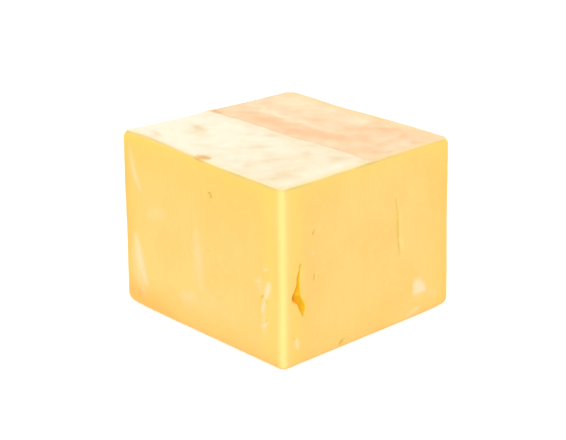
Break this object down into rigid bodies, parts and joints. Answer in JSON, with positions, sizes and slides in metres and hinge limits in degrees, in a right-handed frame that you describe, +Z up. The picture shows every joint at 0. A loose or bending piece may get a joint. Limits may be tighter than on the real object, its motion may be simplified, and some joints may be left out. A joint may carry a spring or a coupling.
{
  "type": "monterey jack cheese block",
  "caption": "Square block of yellow semi-hard cheese cut from a loaf, with rounded upright edges, a creased knife-cut top, and a gouge, a slit and pits in its sides.",
  "frame": {"origin": "middle of the flat base, on the surface that the block stands on", "axes": "+Z up from the base to the cut top, +X to the right along the front face with the gouge and the slit, +Y from that face to the back"},
  "size_m": [0.0986, 0.0994, 0.0773],
  "materials": {
    "cheese": "smooth, slightly waxy yellow cheese, paler and drier on the cut top"
  },
  "bodies": {
    "root": {"cheese_block": "cheese"}
  },
  "joints": []
}
